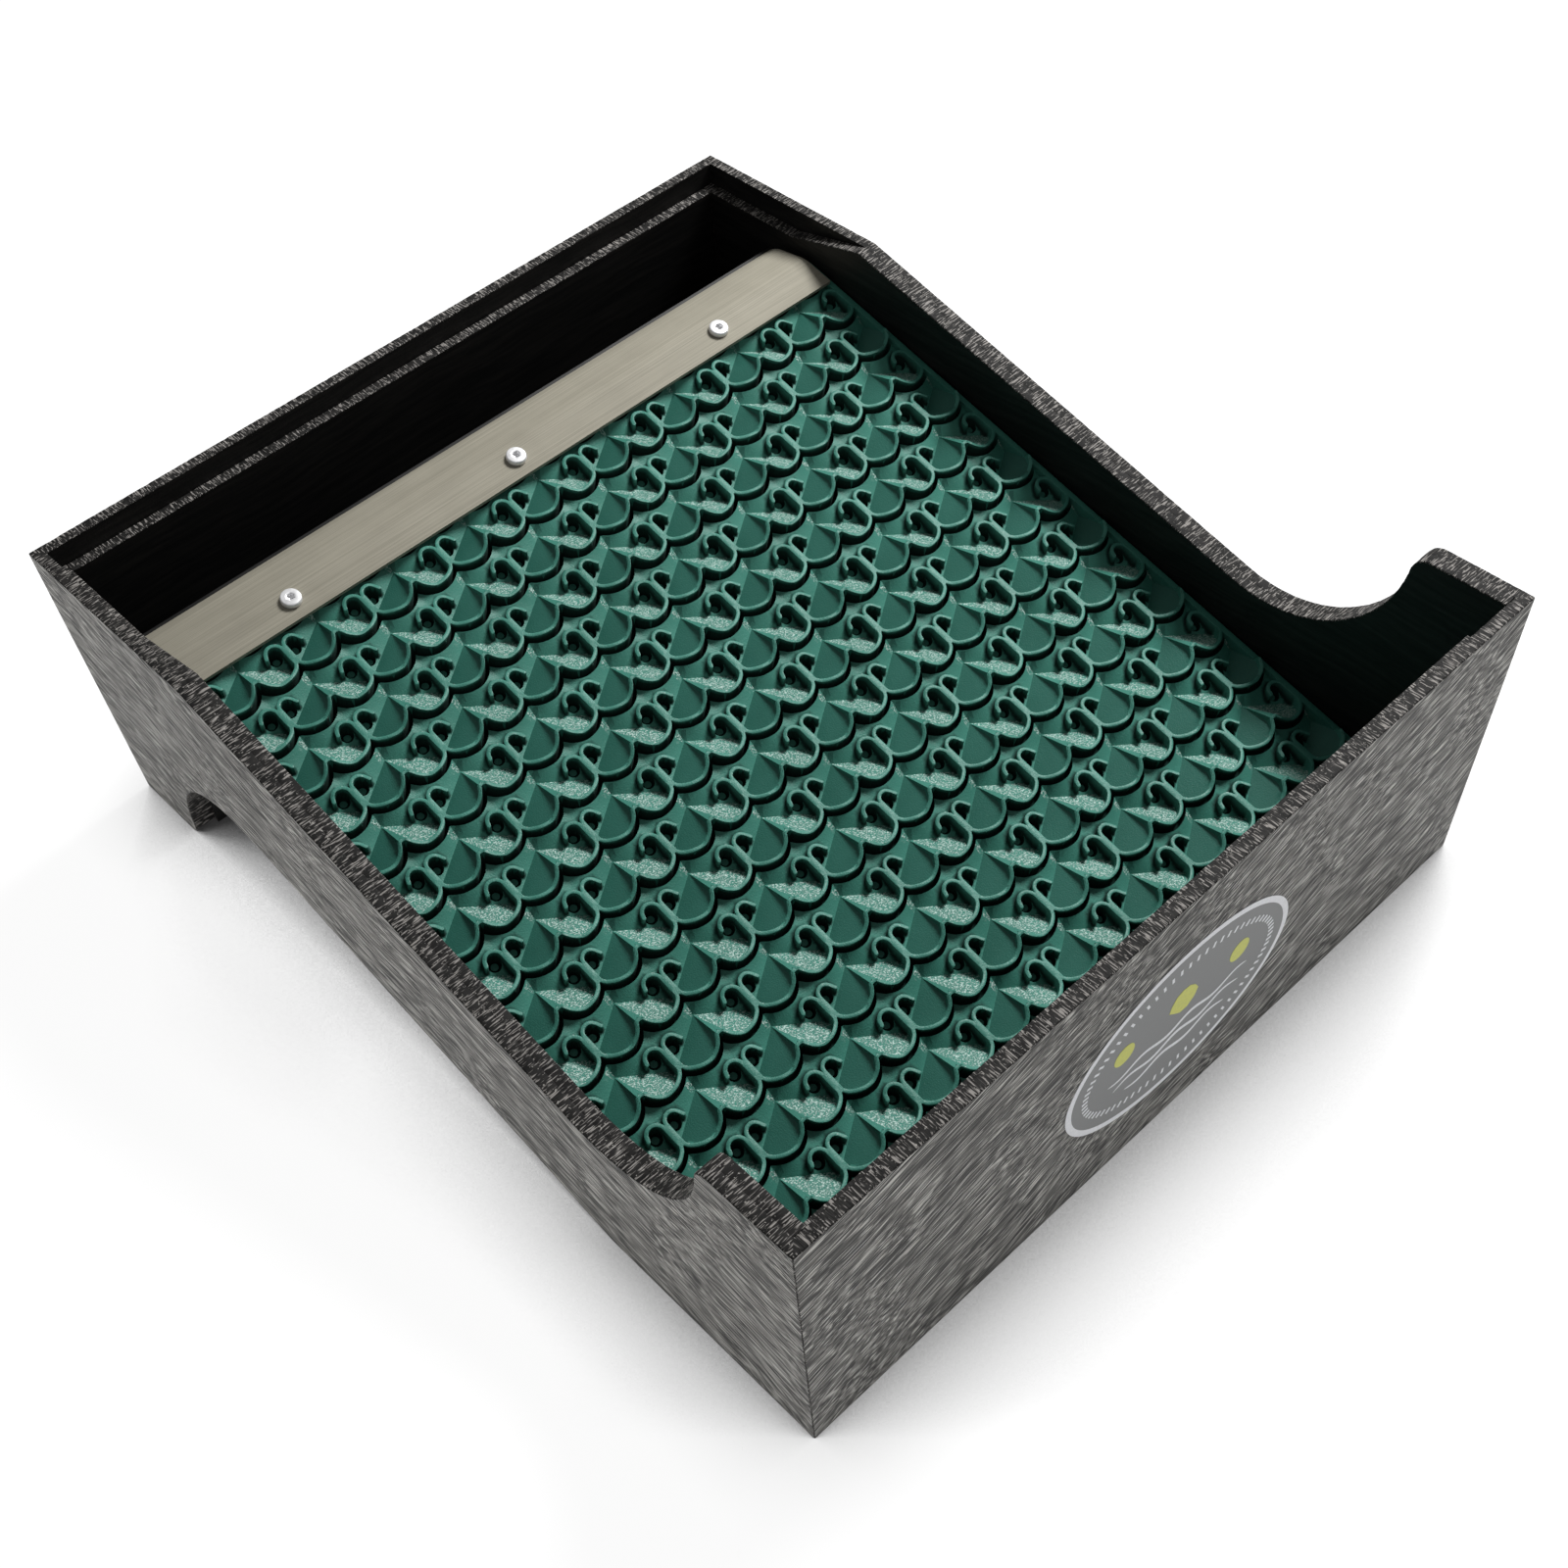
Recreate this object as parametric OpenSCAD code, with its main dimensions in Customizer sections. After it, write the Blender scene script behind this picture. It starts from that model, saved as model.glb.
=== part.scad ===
// Box-shaped gold pan: a sheet-built tray with a sloped riffle mat and a drop trap at the back.
// X is the width, +Y points to the trap end, +Z is up, and the pan stands on z = 0.

/* [Box] */
// Outer width of the pan
box_w = 320; // [280:1:400]
// Outer length of the pan, front to back
box_l = 382; // [360:1:420]
// Outer height of the end walls
box_h = 121; // [115:1:130]
// Thickness of the plastic sheet
sheet_t = 4.5; // [4:0.5:5]

/* [Side outline] */
// Distance from the middle of the pan to the bend in the rim
kink_y = 97; // [90:1:105]
// Slope of the rim, the floor and the mat, in degrees
slope = 14.75; // [13:0.25:16]
// Distance from the middle of the pan to the centre of a scoop
scoop_y = 103; // [98:1:108]
// Radius of the scoop cut out of each side
scoop_r = 50; // [46:1:52]
// Radius that rounds the post beside a scoop
post_r = 6.5; // [4:0.5:8]

/* [Liners] */
// How far the liners stop below the rim around the trap
ledge_drop = 8.5; // [5:0.5:12]
// Where the side liner's ledge starts to climb to the rim
ledge_y = 135; // [125:1:145]
// Thickness of the thin liner on the front wall
front_liner_t = 1.5; // [1:0.5:2]
// How far the thin liner stops short of the right side
front_liner_short = 18; // [10:1:25]

/* [Riffle mat] */
// Height of the mat's top face at the middle of the pan
mat_z = 74; // [70:1:78]
// Thickness of the mat
mat_t = 9.5; // [8:0.5:11]
// Distance along the slope from the middle to the mat's back end
mat_back = 127.5; // [126.5:0.5:128]
// Clearance between the mat and each side liner
mat_gap = 0.5; // [0.3:0.1:1]

/* [Clamp strip] */
// Thickness of the metal strip
strip_t = 1.5; // [1.5:0.5:2]
// Distance along the slope from the middle to the strip's front edge
strip_front = 114.5; // [110:0.5:118]
// Width of the flat part that presses the mat
strip_flat = 14; // [13.5:0.5:16]
// Width of the middle part that dips behind the mat's end
strip_dip = 16; // [14:0.5:18]
// Angle between the middle part and the flat part
dip_angle = 22.75; // [20:0.25:25]
// Angle between the rear lip and the flat part
lip_angle = 45; // [40:1:60]
// Gap between the strip and the left liner
strip_gap_left = 0.5; // [0.3:0.1:3]
// Gap between the strip and the right liner
strip_gap_right = 2.5; // [0.5:0.5:6]

/* [Screws] */
// Thread diameter of the clamp screws
screw_d = 4; // [4:1:5]
// Distance between neighbouring screws
screw_pitch = 100; // [90:1:105]
// Sideways offset of the middle screw
screw_x = -4; // [-8:1:8]
// Distance from the strip's front edge to the screws
screw_inset = 8; // [7:0.5:9]
// Length of each screw under its head
screw_len = 20; // [20:1:24]
// Width of the hexagon socket across its flats
socket_w = 2.5; // [2:0.5:3]
// Depth of the hexagon socket
socket_depth = 1.3; // [1:0.1:1.5]
// Thickness of a washer
washer_t = 0.8; // [0.6:0.1:1]
// Clearance between a screw and its holes
hole_gap = 0.3; // [0.2:0.1:0.5]

/* [Trap] */
// How far the foot of the trap's front wall stands behind the middle of the pan
riser_foot = 153.5; // [153:0.5:158]

/* [Label] */
// Width of the oval label
label_w = 105; // [90:1:120]
// Height of the oval label
label_h = 71; // [60:1:80]
// Sideways offset of the label
label_x = 0; // [-10:1:10]
// Height of the label's middle
label_z = 59; // [50:1:65]
// Thickness of the label
label_t = 0.4; // [0.3:0.1:0.6]

/* [Hidden] */

$fn = 64;
eps = 0.01;
// How far the floor plate reaches past the strip's lip.
plate_lap = 3;
// How far the thin front liner stops below the rim.
front_liner_drop = 0.8;
half_w = box_w / 2;
half_l = box_l / 2;
in_w = half_w - 2 * sheet_t;
liner_back = half_l - 2 * sheet_t;
liner_front = half_l - sheet_t;
rise = tan(slope);

// Height of the rim's slope, and of the mat's top, at a distance y from the middle.
function rim_z(y) = box_h - rise * (kink_y - y);
function mat_top(y) = mat_z + rise * y;
// A plane that lies depth below the mat's top, measured square to the slope.
function below_mat(y, depth) = mat_top(y) - depth / cos(slope);

// Scoop: a circle that touches the rim's slope, met by a small circle that rounds the post.
scoop_z = rim_z(-scoop_y) + scoop_r / cos(slope);
post_z = box_h - post_r;
post_reach = sqrt(pow(scoop_r + post_r, 2) - pow(scoop_z - post_z, 2));
post_y = -scoop_y - post_reach;
post_turn = atan2(scoop_z - post_z, post_reach);

function arc(y, z, r, a0, a1, n) = [
    for (i = [0:n]) let (a = a0 + (a1 - a0) * i / n) [y + r * cos(a), z + r * sin(a)]
];

// Upper edge of a side, from the back corner to the front corner.
upper_edge = concat(
    [[half_l, box_h], [kink_y, box_h]],
    arc(-scoop_y, scoop_z, scoop_r, -90 + slope, -180 + post_turn, 28),
    arc(post_y, post_z, post_r, post_turn, 90, 7),
    [[-half_l, box_h]]
);

// The lower edge is the upper one turned half round, so that pans nest.
function turned(p) = [-p[0], box_h - p[1]];

module side_outline() {
    polygon(concat(upper_edge, [for (p = upper_edge) turned(p)]));
}

// Sheet cut to an outline in the YZ plane, with its low face at x.
module sheet_yz(x, thick) {
    translate([x, 0, 0]) rotate([90, 0, 90]) linear_extrude(thick) children();
}

// Frame that lies on the mat's top face, with +Y up the slope and +Z out of the mat.
module on_slope() {
    translate([0, 0, mat_z]) rotate([slope, 0, 0]) children();
}

// Wedge that trims a panel to a mitre at an upright corner.
module mitre_wedge(sx, sy) {
    translate([0, 0, -eps])
    linear_extrude(box_h + 2 * eps)
    polygon([
        [sx * (half_w + eps), sy * (half_l + eps)],
        [sx * (half_w - sheet_t), sy * (half_l - sheet_t)],
        [sx * (half_w - sheet_t - 1), sy * (half_l - sheet_t)],
        [sx * (half_w - sheet_t - 1), sy * (half_l + eps)]
    ]);
}

module side_panel(sx) {
    difference() {
        sheet_yz(sx > 0 ? half_w - sheet_t : -half_w, sheet_t) side_outline();
        for (sy = [-1, 1]) mitre_wedge(sx, sy);
    }
}

module side_panel_left() {
    color([0.42, 0.41, 0.40]) side_panel(-1);
}

module side_panel_right() {
    color([0.42, 0.41, 0.40]) side_panel(1);
}

// Inner layer of a side: the same outline, cut down to a ledge around the trap.
module side_liner(sx) {
    ledge_z = box_h - ledge_drop;
    sheet_yz(sx > 0 ? in_w : -half_w + sheet_t, sheet_t)
    difference() {
        intersection() {
            side_outline();
            translate([-liner_front, -1]) square([2 * liner_front, box_h + 2]);
        }
        polygon([
            [half_l, ledge_z], [ledge_y, ledge_z], [kink_y, box_h],
            [kink_y, box_h + 1], [half_l, box_h + 1]
        ]);
    }
}

module side_liner_left() {
    color([0.10, 0.10, 0.10]) side_liner(-1);
}

module side_liner_right() {
    color([0.10, 0.10, 0.10]) side_liner(1);
}

// End wall between the side panels, with mitred corners.
module end_panel(sy) {
    linear_extrude(box_h)
    polygon([
        [-half_w, sy * half_l], [half_w, sy * half_l],
        [half_w - sheet_t, sy * (half_l - sheet_t)],
        [-half_w + sheet_t, sy * (half_l - sheet_t)]
    ]);
}

module front_panel() {
    color([0.36, 0.35, 0.34]) end_panel(-1);
}

module back_panel() {
    color([0.36, 0.35, 0.34]) end_panel(1);
}

// Thin strip behind the front wall, short of the right corner.
module front_liner() {
    low = below_mat(-liner_front, mat_t);
    color([0.14, 0.13, 0.13])
    translate([-in_w, -liner_front, low])
    cube([2 * in_w - front_liner_short, front_liner_t, box_h - front_liner_drop - low]);
}

module back_liner() {
    color([0.10, 0.10, 0.10])
    translate([-in_w, liner_back, 0])
    cube([2 * in_w, sheet_t, box_h - ledge_drop]);
}

// Clearance holes for the clamp screws, square to the slope.
module screw_holes() {
    on_slope()
    for (i = [-1:1])
        translate([screw_x + i * screw_pitch, strip_front + screw_inset, -mat_t - 2 * sheet_t])
        cylinder(r = screw_d / 2 + hole_gap, h = mat_t + 2 * sheet_t + 2 * strip_t);
}

// Point at a distance s up the slope and a height n out of the mat, as [y, z].
function slope_point(s, n) = [
    s * cos(slope) - n * sin(slope),
    mat_z + s * sin(slope) + n * cos(slope)
];

// Bends of the strip in the slope's frame: flat on the mat, dip, then a lip down to the floor plate.
bend_1 = [strip_front + strip_flat, 0];
bend_2 = bend_1 + strip_dip * [cos(dip_angle), -sin(dip_angle)];
lip_foot = [bend_2[0] + (bend_2[1] + mat_t) / tan(lip_angle), -mat_t];
plate_back = slope_point(lip_foot[0] + plate_lap, -mat_t)[0];
plate_front = -liner_front + front_liner_t;

module floor_plate() {
    color([0.10, 0.10, 0.10])
    difference() {
        sheet_yz(-in_w, 2 * in_w)
        polygon([
            [plate_front, below_mat(plate_front, mat_t)],
            [plate_back, below_mat(plate_back, mat_t)],
            [plate_back, below_mat(plate_back, mat_t + sheet_t)],
            [plate_front, below_mat(plate_front, mat_t + sheet_t)]
        ]);
        screw_holes();
    }
}

// Leaning front wall of the trap, from the floor plate down to the ground.
module trap_riser() {
    top_y = plate_back - sheet_t;
    color([0.10, 0.10, 0.10])
    sheet_yz(-in_w, 2 * in_w)
    polygon([
        [riser_foot, 0],
        [riser_foot + sheet_t, 0],
        [plate_back, below_mat(plate_back, mat_t + sheet_t)],
        [top_y, below_mat(top_y, mat_t + sheet_t)]
    ]);
}

module trap_floor() {
    // The riser leans, so the floor's front edge is cut to the same lean.
    lean = (riser_foot + sheet_t - plate_back) / below_mat(plate_back, mat_t + sheet_t);
    color([0.10, 0.10, 0.10])
    sheet_yz(-in_w, 2 * in_w)
    polygon([
        [riser_foot + sheet_t, 0],
        [liner_back, 0],
        [liner_back, sheet_t],
        [riser_foot + sheet_t - lean * sheet_t, sheet_t]
    ]);
}

module riffle_mat() {
    color([0.16, 0.40, 0.34])
    difference() {
        sheet_yz(-in_w + mat_gap, 2 * (in_w - mat_gap))
        polygon([
            [plate_front + mat_gap, mat_top(plate_front + mat_gap)],
            slope_point(mat_back, 0),
            slope_point(mat_back, -mat_t),
            [plate_front + mat_gap, below_mat(plate_front + mat_gap, mat_t)]
        ]);
        screw_holes();
    }
}

// Upper corner of a bend between two parts that lean down by the angles a and b.
function bend_skin(p, a, b) =
    let (m = (a + b) / 2, reach = strip_t / cos((b - a) / 2))
    p + reach * [sin(m), cos(m)];

// Bent sheet: a flat part on the mat, a dip behind it and a lip that bears on the floor plate.
module clamp_strip() {
    color([0.66, 0.63, 0.57])
    difference() {
        on_slope()
        sheet_yz(-in_w + strip_gap_left, 2 * in_w - strip_gap_left - strip_gap_right)
        polygon([
            [strip_front, 0],
            bend_1,
            bend_2,
            lip_foot,
            lip_foot + strip_t * [sin(lip_angle), cos(lip_angle)],
            bend_skin(bend_2, dip_angle, lip_angle),
            bend_skin(bend_1, 0, dip_angle),
            [strip_front, strip_t]
        ]);
        screw_holes();
    }
}

// Puts children at each screw, with +Z out of the mat and z = 0 on its top face.
module at_screws() {
    on_slope()
    for (i = [-1:1])
        translate([screw_x + i * screw_pitch, strip_front + screw_inset, 0])
        children();
}

// Button-head screw with a hexagon socket.
module clamp_screws() {
    head_r = 0.95 * screw_d;
    head_h = 0.55 * screw_d;
    crown_h = 0.4 * head_h;
    dome_r = (head_r * head_r + crown_h * crown_h) / (2 * crown_h);
    color([0.80, 0.81, 0.82])
    at_screws()
    difference() {
        union() {
            translate([0, 0, strip_t - screw_len]) cylinder(d = screw_d, h = screw_len + head_h / 2);
            translate([0, 0, strip_t])
            intersection() {
                translate([0, 0, head_h - dome_r]) sphere(dome_r, $fn = 96);
                cylinder(r = head_r, h = head_h);
            }
        }
        translate([0, 0, strip_t + head_h - socket_depth])
        cylinder(d = socket_w / cos(30), h = head_h, $fn = 6);
    }
}

module clamp_washers() {
    color([0.72, 0.73, 0.74])
    at_screws()
    translate([0, 0, -mat_t - sheet_t - washer_t])
    difference() {
        cylinder(r = 1.15 * screw_d, h = washer_t);
        translate([0, 0, -1]) cylinder(r = screw_d / 2 + hole_gap, h = washer_t + 2);
    }
}

module clamp_nuts() {
    nut_h = 0.8 * screw_d;
    color([0.72, 0.73, 0.74])
    at_screws()
    translate([0, 0, -mat_t - sheet_t - washer_t - nut_h])
    difference() {
        cylinder(d = 1.75 * screw_d / cos(30), h = nut_h, $fn = 6);
        translate([0, 0, -1]) cylinder(r = screw_d / 2 + hole_gap, h = nut_h + 2);
    }
}

// Thin oval sticker on the front wall.
module oval_label() {
    color([0.55, 0.56, 0.56])
    translate([label_x, -half_l, label_z])
    rotate([90, 0, 0])
    linear_extrude(label_t)
    polygon([for (i = [0:95]) [label_w / 2 * cos(i * 3.75), label_h / 2 * sin(i * 3.75)]]);
}

side_panel_left();
side_panel_right();
side_liner_left();
side_liner_right();
front_panel();
front_liner();
back_panel();
back_liner();
floor_plate();
trap_riser();
trap_floor();
riffle_mat();
clamp_strip();
clamp_screws();
clamp_washers();
clamp_nuts();
oval_label();
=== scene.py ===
"""Looks for a box-shaped gold pan: board box with scooped sides, riffle mat, clamp strip and oval label.

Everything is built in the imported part's own frame: +X to the right, +Y towards the trap, +Z up.
Lengths in this script are in millimetres, and MM turns them into metres.
"""

import math

import bmesh
import bpy
import numpy as np
from mathutils import Matrix, Vector
from mathutils.geometry import delaunay_2d_cdt


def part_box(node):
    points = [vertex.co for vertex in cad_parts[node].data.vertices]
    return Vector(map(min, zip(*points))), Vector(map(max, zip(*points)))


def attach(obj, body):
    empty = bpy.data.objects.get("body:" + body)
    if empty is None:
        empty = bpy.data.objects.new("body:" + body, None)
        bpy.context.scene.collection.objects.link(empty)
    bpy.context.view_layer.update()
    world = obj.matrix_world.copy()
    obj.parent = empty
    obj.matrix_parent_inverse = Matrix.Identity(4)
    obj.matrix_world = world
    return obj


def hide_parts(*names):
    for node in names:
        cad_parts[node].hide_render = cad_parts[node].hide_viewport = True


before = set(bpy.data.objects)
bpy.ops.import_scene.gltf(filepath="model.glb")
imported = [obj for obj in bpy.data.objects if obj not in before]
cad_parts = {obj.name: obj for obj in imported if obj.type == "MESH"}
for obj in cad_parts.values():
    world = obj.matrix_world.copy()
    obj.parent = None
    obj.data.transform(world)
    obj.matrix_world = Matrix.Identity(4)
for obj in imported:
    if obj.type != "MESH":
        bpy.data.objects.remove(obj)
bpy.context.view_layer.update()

MM = 0.001
saw_marks = np.random.default_rng(11)


# ---------------------------------------------------------------- sizes taken from the frame

def box_mm(node):
    """Low and high corner of a CAD node, in millimetres."""
    low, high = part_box(node)
    return np.array(low) / MM, np.array(high) / MM


panel_low, panel_high = box_mm("side_panel_right")
HALF_W = panel_high[0]
HALF_L = panel_high[1]
BOX_H = panel_high[2]
SHEET = panel_high[0] - panel_low[0]
IN_W = HALF_W - 2 * SHEET
LINER_L = HALF_L - SHEET

SLOPE = math.radians(14.75)     # of the mat, the rim and the bottom edge
RISE = math.tan(SLOPE)
MAT_Z = 74.0            # height of the mat's top plane at y = 0
MAT_T = 9.5
KINK_Y = 97.0           # where the rim's slope meets its level back part
SCOOP_Y = -103.0
SCOOP_R = 50.0
POST_R = 6.5            # round corner of the post before the scoop
LEDGE_DROP = 8.5        # how far the back liner lies under the rim
LEDGE_Y = 135.0         # where the side liners step down to the back liner
STRIP_T = 1.5
STRIP_FRONT = 114.5     # the clamp strip's front edge, up the slope

PANEL_R = 0.45          # rounding of the panels' edges
LINER_R = 0.40          # rounding of the side liners' inner edges
SEAM_R = 0.08           # rounding where a panel meets its liner
BOARD_R = 0.35          # rounding of the end walls' liners
CROSS_R = 0.30          # rounding of the boards under the mat
CORNER_CHAMFER = 0.35   # taken off the box's four upright edges
MITRE_SPARE = 4.0       # extra length of a panel, which its mitre cuts off
SAW_STEP = 1.1          # spacing of the saw marks along a cut edge
SAW_DEPTH = 0.07        # their depth on the panels and side liners
FINE_SAW_DEPTH = 0.06   # their depth on the end walls' liners


def slope_point(s, n):
    """(y, z) of a point s up the slope and n out of the mat's top plane."""
    return (
        s * math.cos(SLOPE) - n * math.sin(SLOPE),
        MAT_Z + s * math.sin(SLOPE) + n * math.cos(SLOPE),
    )


def below_mat(y, depth):
    """Height of the plane that lies depth under the mat's top plane, at y."""
    return MAT_Z + RISE * y - depth / math.cos(SLOPE)


def rim_z(y):
    """Height of the sloped rim at y."""
    return BOX_H - RISE * (KINK_Y - y)


# ---------------------------------------------------------------- mesh helpers

TURN_STEPS = 48         # points round a turned body


def new_object(name, bm):
    mesh = bpy.data.meshes.new(name)
    bm.to_mesh(mesh)
    bm.free()
    obj = bpy.data.objects.new(name, mesh)
    bpy.context.scene.collection.objects.link(obj)
    return obj


def smooth(obj, degrees=35):
    """Smooth shading, with sharp edges where faces meet at more than that angle. Large faces stay flat."""
    obj.data.shade_smooth()
    obj.data.set_sharp_from_angle(angle=math.radians(degrees))
    for face in obj.data.polygons:
        if len(face.vertices) > 4:
            face.use_smooth = False
    return obj


def finish_piece(obj, node, material_slot, *materials):
    """Gives a piece its materials and its place on the frame, and hides the CAD node it stands for."""
    obj.name = obj.data.name = "look_" + obj.name.split(".")[0]
    for material in materials:
        obj.data.materials.append(material)
    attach(obj, "root")
    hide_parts(node)


def arc(cy, cz, r, a0, a1, n):
    """Points on an arc, with angles in degrees."""
    return [
        (cy + r * math.cos(math.radians(a)), cz + r * math.sin(math.radians(a)))
        for a in np.linspace(a0, a1, n + 1)
    ]


def inset(points, d):
    """A closed counter-clockwise outline moved inwards by d, with mitred corners."""
    p = np.array(points, float)
    ahead = np.roll(p, -1, 0) - p
    ahead /= np.linalg.norm(ahead, axis=1)[:, None]
    behind = np.roll(ahead, 1, 0)
    n1 = np.c_[-ahead[:, 1], ahead[:, 0]]
    n0 = np.c_[-behind[:, 1], behind[:, 0]]
    m = n0 + n1
    m /= (m * n1).sum(1)[:, None]
    return p + d * m


def ccw(points):
    """The outline counter-clockwise, without points that repeat the one before."""
    p = np.array(points, float)
    p = p[np.linalg.norm(p - np.roll(p, 1, 0), axis=1) > 1e-6]
    x, y = p[:, 0], p[:, 1]
    area = (x * np.roll(y, -1) - np.roll(x, -1) * y).sum()
    return p if area > 0 else p[::-1]


def extrude_rounded(outline, low, high, axis, edge_r=(0.4, 0.4), steps=3, rough=0.0):
    """A sheet cut to an outline, from low to high along an axis, with rounded edges at both faces.

    axis "x" takes the outline as (y, z), "y" as (x, z), and "z" as (x, y).
    rough is how deep the cut edge's saw marks are. They run straight across the edge.
    Face material 0 is the high face, 1 the low face and 2 the cut edges.
    """
    outline = ccw(outline)
    marks = 0.0
    if rough:
        outline = densify(outline, SAW_STEP)
        marks = rough * np.abs(saw_marks.normal(size=len(outline))).clip(0, 2.5)[:, None]
    turns = np.linspace(0, math.pi / 2, steps + 1)
    bottom = [(low + edge_r[0] * (1 - math.cos(a)), edge_r[0] * (1 - math.sin(a))) for a in turns]
    top = [(high - edge_r[1] * (1 - math.cos(a)), edge_r[1] * (1 - math.sin(a))) for a in turns[::-1]]
    bm = bmesh.new()
    rings = []
    for t, d in bottom + top:
        ring = []
        for a, b in inset(outline, d + marks):
            place = {"x": (t, a, b), "y": (a, t, b), "z": (a, b, t)}[axis]
            ring.append(bm.verts.new(Vector(place) * MM))
        rings.append(ring)
    n = len(outline)
    for lower, upper in zip(rings, rings[1:]):
        for i in range(n):
            face = bm.faces.new((lower[i], lower[(i + 1) % n], upper[(i + 1) % n], upper[i]))
            face.material_index = 2
    low_cap = bm.faces.new(reversed(rings[0]))
    low_cap.material_index = 1
    high_cap = bm.faces.new(rings[-1])
    high_cap.material_index = 0
    for edge in list(low_cap.edges) + list(high_cap.edges):
        edge.smooth = False
    if axis == "y":
        bmesh.ops.reverse_faces(bm, faces=bm.faces)
    return bm


def densify(outline, step):
    """Splits long sides of a closed outline into steps."""
    out = []
    for p, q in zip(outline, np.roll(outline, -1, 0)):
        n = max(1, int(round(np.linalg.norm(q - p) / step)))
        out += [p + (q - p) * i / n for i in range(n)]
    return np.array(out)


def cut(bm, point, normal):
    """Cuts away what lies beyond a plane and closes the cut. The new face is a cut edge, material 2."""
    geom = bm.verts[:] + bm.edges[:] + bm.faces[:]
    result = bmesh.ops.bisect_plane(
        bm, geom=geom, plane_co=Vector(point) * MM, plane_no=Vector(normal), clear_outer=True, dist=1e-7
    )
    edges = [e for e in result["geom_cut"] if isinstance(e, bmesh.types.BMEdge)]
    made = bmesh.ops.holes_fill(bm, edges=[e for e in edges if e.is_boundary], sides=0)
    for face in made["faces"]:
        face.material_index = 2


def hexagon(across, angle):
    """Radius of a hexagon of that width across its flats, at an angle."""
    folded = (angle + math.pi / 6) % (math.pi / 3) - math.pi / 6
    return across / 2 / math.cos(folded)


def turned_body(bm, profile, centre, axes, hex_rows=(), bored=False):
    """A closed body turned from (radius, height) points about the third of three axes.

    The rows in hex_rows are hexagons. A bored body joins its last row to its first.
    """
    u, v, n = axes
    rings = []
    for row, (radius, height) in enumerate(profile):
        ring = []
        for i in range(TURN_STEPS):
            a = 2 * math.pi * i / TURN_STEPS
            r = hexagon(2 * radius, a) if row in hex_rows else radius
            p = centre + u * r * math.cos(a) + v * r * math.sin(a) + n * height
            ring.append(bm.verts.new(p * MM))
        rings.append(ring)
    following = rings[1:] + rings[:1] if bored else rings[1:]
    for lower, upper in zip(rings, following):
        for i in range(TURN_STEPS):
            j = (i + 1) % TURN_STEPS
            bm.faces.new((lower[i], lower[j], upper[j], upper[i]))
    if not bored:
        bm.faces.new(reversed(rings[0]))
        bm.faces.new(rings[-1])


# ---------------------------------------------------------------- material helpers

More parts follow.
